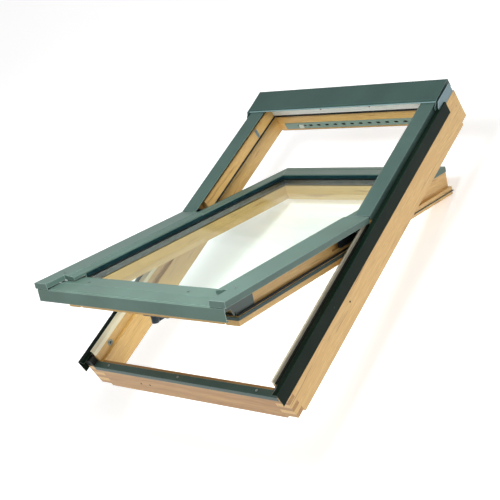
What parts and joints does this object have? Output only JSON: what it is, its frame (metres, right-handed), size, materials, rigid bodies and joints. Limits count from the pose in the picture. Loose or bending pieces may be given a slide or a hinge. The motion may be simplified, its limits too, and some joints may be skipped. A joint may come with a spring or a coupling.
{
  "type": "roof skylight",
  "caption": "Centre-pivot roof skylight: timber frame and opening double-glazed sash with folded metal covers, a hood, a handle and a sliding vent.",
  "frame": {"origin": "middle of the frame across and up the slope, level with the upper lip of the metal angle along its sides", "axes": "+X across the window to the right seen from outside, +Y up the roof slope, +Z square out of the roof"},
  "size_m": [0.79, 1.202, 0.6104],
  "materials": {
    "timber": "clear lacquered pine",
    "rubber": "matt",
    "cream_bead": "smooth",
    "angle_metal": "satin",
    "black_plastic": "matt",
    "cover_metal": "satin",
    "hood_metal": "satin",
    "trim_metal": "satin",
    "bracket_metal": "dull",
    "white_strip": "satin",
    "vent_plastic": "satin",
    "slider_plastic": "satin",
    "hinge_metal": "satin",
    "bush_plastic": "satin",
    "screw_steel": "dull",
    "nail_steel": "dull",
    "glass": "clear",
    "spacer_metal": "dull",
    "grey_seal": "matt",
    "handle_metal": "satin",
    "bolt_steel": "satin"
  },
  "bodies": {
    "frame": {"frame_side_left": "timber", "frame_side_right": "timber", "frame_head": "timber", "frame_sill": "timber", "stop_left": "timber", "stop_right": "timber", "stop_seals": "rubber", "bead_left": "cream_bead", "bead_right": "cream_bead", "groove_seals": "rubber", "angle_left": "angle_metal", "angle_right": "angle_metal", "angle_packers": "black_plastic", "corner_blocks": "black_plastic", "upper_cover_left": "cover_metal", "upper_cover_right": "cover_metal", "cover_clips": "black_plastic", "hood": "hood_metal", "hood_blocks": "black_plastic", "hood_brackets": "bracket_metal", "head_strip": "white_strip", "sill_cover": "cover_metal", "vent_grille": "vent_plastic", "track_left": "hinge_metal", "track_right": "hinge_metal", "bolt_bush": "bush_plastic", "stop_plate": "bracket_metal", "sill_keeper": "bracket_metal", "frame_screws": "screw_steel", "frame_nails": "nail_steel"},
    "sash": {"stile_left": "timber", "stile_right": "timber", "sash_head": "timber", "sash_foot": "timber", "outer_pane": "glass", "pane_spacer": "spacer_metal", "inner_pane": "glass", "lower_cover_left": "cover_metal", "lower_cover_right": "cover_metal", "trim_left": "trim_metal", "trim_right": "trim_metal", "trim_head": "trim_metal", "foot_cladding": "trim_metal", "cover_packers": "black_plastic", "glass_seal": "rubber", "ledge_seals": "rubber", "side_seals": "grey_seal", "head_seal": "grey_seal", "corner_plates": "hinge_metal", "hub_left": "hinge_metal", "hub_right": "hinge_metal", "handle_base": "handle_metal", "sash_screws": "screw_steel", "bolt_barrel": "bolt_steel"},
    "handle": {"handle_lever": "handle_metal"},
    "bolt": {"bolt_rod": "bolt_steel"},
    "vent": {"vent_slider": "slider_plastic"}
  },
  "joints": [
    {"name": "sash_pivot", "type": "hinge", "parent": "frame", "child": "sash", "pos_m": [0, 0.0152, 0.0175], "axis": [-1, 0, 0], "range_deg": [-26.9, 140.6]},
    {"name": "handle_turn", "type": "hinge", "parent": "sash", "child": "handle", "pos_m": [0.004, -0.52232, 0.16966], "axis": [0, -0.4524, -0.8918], "range_deg": [0, 90]},
    {"name": "bolt_slide", "type": "slide", "parent": "sash", "child": "bolt", "axis": [-1, 0, 0], "range_m": [0, 0.03]},
    {"name": "vent_slide", "type": "slide", "parent": "frame", "child": "vent", "axis": [1, 0, 0], "range_m": [-0.014, 0.014]}
  ]
}
